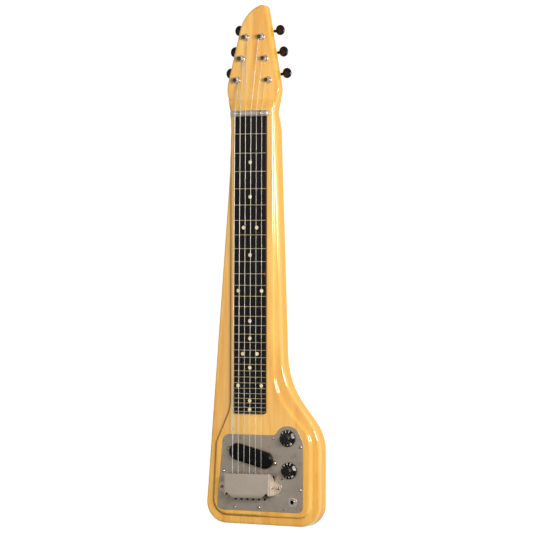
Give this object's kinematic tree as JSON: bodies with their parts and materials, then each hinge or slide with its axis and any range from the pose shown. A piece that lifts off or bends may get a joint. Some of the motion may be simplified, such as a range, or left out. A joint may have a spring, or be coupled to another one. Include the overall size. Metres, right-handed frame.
{
  "type": "lap steel guitar",
  "caption": "Solid-body electric lap steel guitar with a slanted pickup, bent sheet-metal bridge cover, control plate with knobs and jack, and geared tuners on an arrow-shaped head.",
  "frame": {"origin": "bottom centre of the bounding box, on the surface that the back lies on", "axes": "+X to the treble side, +Y toward the head, +Z out of the playing face"},
  "size_m": [0.1916, 0.8084, 0.0515],
  "materials": {
    "lacquered_wood": "clear gloss lacquer over light amber wood",
    "black_board": "satin black with pale metal lines",
    "plate_metal": "dulled nickel, satin",
    "nickel": "aged nickel",
    "string_steel": "plain and wound steel wire",
    "black_plastic": "glossy black",
    "brass": "dulled brass",
    "coil_wrap": "brown wrap",
    "magnet": "rough"
  },
  "bodies": {
    "guitar": {"body": "lacquered_wood", "fretboard": "black_board", "nut": "nickel", "control_plate": "plate_metal", "pickup_cover": "black_plastic", "pickup_flange": "brass", "pickup_coil": "coil_wrap", "pickup_magnet": "magnet", "bridge_saddle": "nickel", "bridge_cover": "plate_metal", "string_anchor": "nickel", "capacitor": "coil_wrap", "jack_body": "nickel", "jack_nut": "nickel", "pickup_screw_1": "nickel", "pickup_screw_2": "nickel", "cover_screw_1": "nickel", "cover_screw_2": "nickel", "nut_screw_1": "nickel", "nut_screw_2": "nickel", "pot_1": "nickel", "pot_2": "nickel", "tuner_plate_bass": "nickel", "ferrule_bass_1": "nickel", "ferrule_bass_2": "nickel", "ferrule_bass_3": "nickel", "tuner_plate_treble": "nickel", "ferrule_treble_1": "nickel", "ferrule_treble_2": "nickel", "ferrule_treble_3": "nickel", "string_1": "string_steel", "string_2": "string_steel", "string_3": "string_steel", "string_4": "string_steel", "string_5": "string_steel", "string_6": "string_steel"},
    "knob_1": {"knob_1": "black_plastic", "pot_shaft_1": "brass"},
    "knob_2": {"knob_2": "black_plastic", "pot_shaft_2": "brass"},
    "key_bass_1": {"worm_shaft_bass_1": "nickel", "button_bass_1": "black_plastic"},
    "post_bass_1": {"post_bass_1": "nickel"},
    "key_bass_2": {"worm_shaft_bass_2": "nickel", "button_bass_2": "black_plastic"},
    "post_bass_2": {"post_bass_2": "nickel"},
    "key_bass_3": {"worm_shaft_bass_3": "nickel", "button_bass_3": "black_plastic"},
    "post_bass_3": {"post_bass_3": "nickel"},
    "key_treble_1": {"worm_shaft_treble_1": "nickel", "button_treble_1": "black_plastic"},
    "post_treble_1": {"post_treble_1": "nickel"},
    "key_treble_2": {"worm_shaft_treble_2": "nickel", "button_treble_2": "black_plastic"},
    "post_treble_2": {"post_treble_2": "nickel"},
    "key_treble_3": {"worm_shaft_treble_3": "nickel", "button_treble_3": "black_plastic"},
    "post_treble_3": {"post_treble_3": "nickel"}
  },
  "joints": [
    {"name": "knob_1_turn", "type": "hinge", "parent": "guitar", "child": "knob_1", "pos_m": [0.0447, -0.2675, 0.0335], "axis": [0, 0, 1], "range_deg": [-150, 150]},
    {"name": "knob_2_turn", "type": "hinge", "parent": "guitar", "child": "knob_2", "pos_m": [0.0473, -0.3174, 0.0335], "axis": [0, 0, 1], "range_deg": [-150, 150]},
    {"name": "key_bass_1_turn", "type": "hinge", "parent": "guitar", "child": "key_bass_1", "pos_m": [-0.04449, 0.29489, 0.0033], "axis": [-0.9755, 0.2198, 0], "continuous": true},
    {"name": "post_bass_1_turn", "type": "hinge", "parent": "guitar", "child": "post_bass_1", "pos_m": [-0.0462, 0.28733, 0.0033], "axis": [0, 0, 1], "continuous": true},
    {"name": "key_bass_2_turn", "type": "hinge", "parent": "guitar", "child": "key_bass_2", "pos_m": [-0.037, 0.32816, 0.0033], "axis": [-0.9755, 0.2198, 0], "continuous": true},
    {"name": "post_bass_2_turn", "type": "hinge", "parent": "guitar", "child": "post_bass_2", "pos_m": [-0.0387, 0.3206, 0.0033], "axis": [0, 0, 1], "continuous": true},
    {"name": "key_bass_3_turn", "type": "hinge", "parent": "guitar", "child": "key_bass_3", "pos_m": [-0.0295, 0.36142, 0.0033], "axis": [-0.9755, 0.2198, 0], "continuous": true},
    {"name": "post_bass_3_turn", "type": "hinge", "parent": "guitar", "child": "post_bass_3", "pos_m": [-0.0312, 0.35386, 0.0033], "axis": [0, 0, 1], "continuous": true},
    {"name": "key_treble_1_turn", "type": "hinge", "parent": "guitar", "child": "key_treble_1", "pos_m": [0.00603, 0.29464, 0.0033], "axis": [0.9851, 0.1719, 0], "continuous": true},
    {"name": "post_treble_1_turn", "type": "hinge", "parent": "guitar", "child": "post_treble_1", "pos_m": [0.00736, 0.287, 0.0033], "axis": [0, 0, 1], "continuous": true},
    {"name": "key_treble_2_turn", "type": "hinge", "parent": "guitar", "child": "key_treble_2", "pos_m": [0.00017, 0.32823, 0.0033], "axis": [0.9851, 0.1719, 0], "continuous": true},
    {"name": "post_treble_2_turn", "type": "hinge", "parent": "guitar", "child": "post_treble_2", "pos_m": [0.0015, 0.3206, 0.0033], "axis": [0, 0, 1], "continuous": true},
    {"name": "key_treble_3_turn", "type": "hinge", "parent": "guitar", "child": "key_treble_3", "pos_m": [-0.0057, 0.36182, 0.0033], "axis": [0.9851, 0.1719, 0], "continuous": true},
    {"name": "post_treble_3_turn", "type": "hinge", "parent": "guitar", "child": "post_treble_3", "pos_m": [-0.00436, 0.35419, 0.0033], "axis": [0, 0, 1], "continuous": true}
  ],
  "couplings": [
    {"joint": "post_bass_1_turn", "follows": "key_bass_1_turn", "ratio": -0.071429},
    {"joint": "post_bass_2_turn", "follows": "key_bass_2_turn", "ratio": -0.071429},
    {"joint": "post_bass_3_turn", "follows": "key_bass_3_turn", "ratio": -0.071429},
    {"joint": "post_treble_1_turn", "follows": "key_treble_1_turn", "ratio": 0.071429},
    {"joint": "post_treble_2_turn", "follows": "key_treble_2_turn", "ratio": 0.071429},
    {"joint": "post_treble_3_turn", "follows": "key_treble_3_turn", "ratio": 0.071429}
  ]
}
